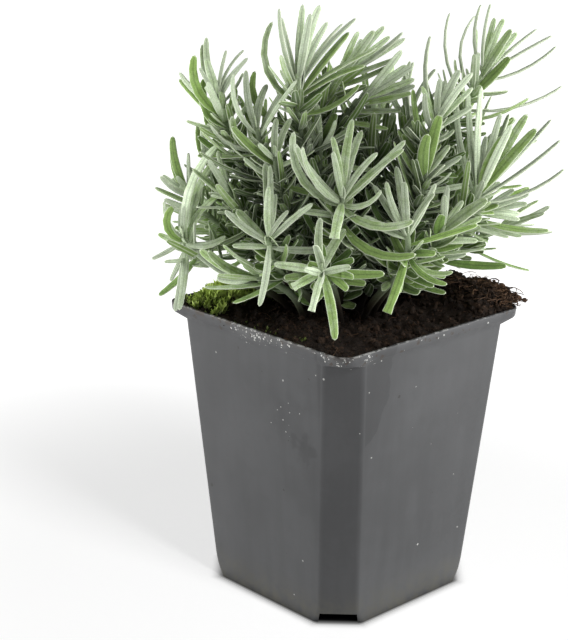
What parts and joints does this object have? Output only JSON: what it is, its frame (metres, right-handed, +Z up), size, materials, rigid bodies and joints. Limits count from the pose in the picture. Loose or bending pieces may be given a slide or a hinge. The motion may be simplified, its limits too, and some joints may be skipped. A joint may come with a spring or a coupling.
{
  "type": "potted lavender",
  "caption": "Young lavender plant with narrow silvery leaves in leafy shoots, growing from peat in a tapered square nursery pot with chamfered corners.",
  "frame": {"origin": "on the floor, under the middle of the whole plant and pot as seen from above; the pot's own middle is 6.4 mm along +X and 7.0 mm along -Y from it", "axes": "+Z up; X and Y along the sides of the square pot; the plant's fuller, lower side looks over the pot's corner at +X -Y"},
  "size_m": [0.1334, 0.1334, 0.2091],
  "materials": {
    "pot_plastic": "semi-matte, scuffed, with specks of lime and soil",
    "peat": "rough, crumbly and damp",
    "foliage": "felted grey-green leaves with paler edges, on green stems"
  },
  "bodies": {
    "root": {"pot": "pot_plastic", "soil": "peat", "sprig_centre": "foliage", "sprig_front_left": "foliage", "sprig_front_low": "foliage", "sprig_front_middle": "foliage", "sprig_front_right": "foliage", "sprig_left_centre": "foliage", "sprig_left_front": "foliage", "sprig_left_high": "foliage", "sprig_left_inner": "foliage", "sprig_left_low": "foliage", "sprig_left_middle": "foliage", "sprig_left_rear": "foliage", "sprig_middle_left": "foliage", "sprig_rear_1": "foliage", "sprig_rear_10": "foliage", "sprig_rear_2": "foliage", "sprig_rear_3": "foliage", "sprig_rear_4": "foliage", "sprig_rear_5": "foliage", "sprig_rear_6": "foliage", "sprig_rear_7": "foliage", "sprig_rear_8": "foliage", "sprig_rear_9": "foliage", "sprig_right_centre": "foliage", "sprig_right_front": "foliage", "sprig_right_high": "foliage", "sprig_right_inner": "foliage", "sprig_right_low": "foliage", "sprig_right_middle": "foliage", "sprig_right_outer": "foliage", "sprig_right_rear": "foliage", "sprig_right_side": "foliage", "sprig_top": "foliage", "sprig_top_inner": "foliage", "sprig_top_right": "foliage"}
  },
  "joints": []
}
